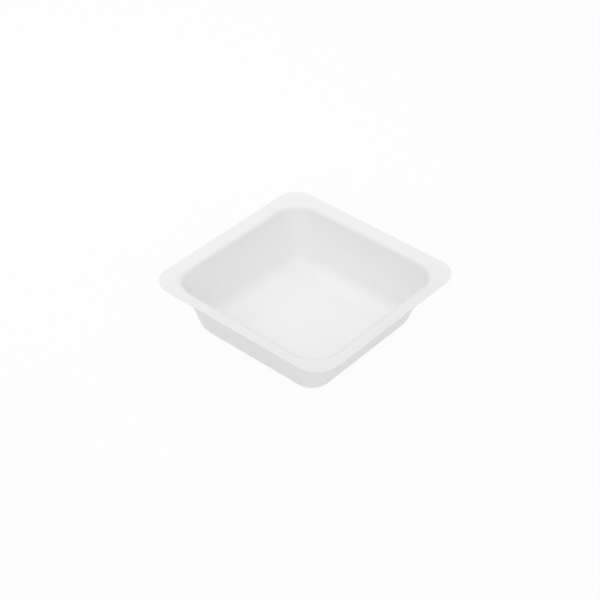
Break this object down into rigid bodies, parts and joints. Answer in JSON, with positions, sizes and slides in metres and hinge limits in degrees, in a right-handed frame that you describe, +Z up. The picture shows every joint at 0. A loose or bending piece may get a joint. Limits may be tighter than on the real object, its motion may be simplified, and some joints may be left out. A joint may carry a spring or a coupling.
{
  "type": "weighing boat",
  "caption": "Square weighing boat: a thin formed tray with a flat rim, sloping walls, round corners and a flat floor to stand on.",
  "frame": {"origin": "middle of the underside of the floor, on the surface that the boat stands on", "axes": "+Z up, out of the boat's mouth; X and Y square to the two pairs of walls"},
  "size_m": [0.08, 0.08, 0.024],
  "materials": {
    "white_polystyrene": "smooth satin white"
  },
  "bodies": {
    "root": {"weighing_boat": "white_polystyrene"}
  },
  "joints": []
}
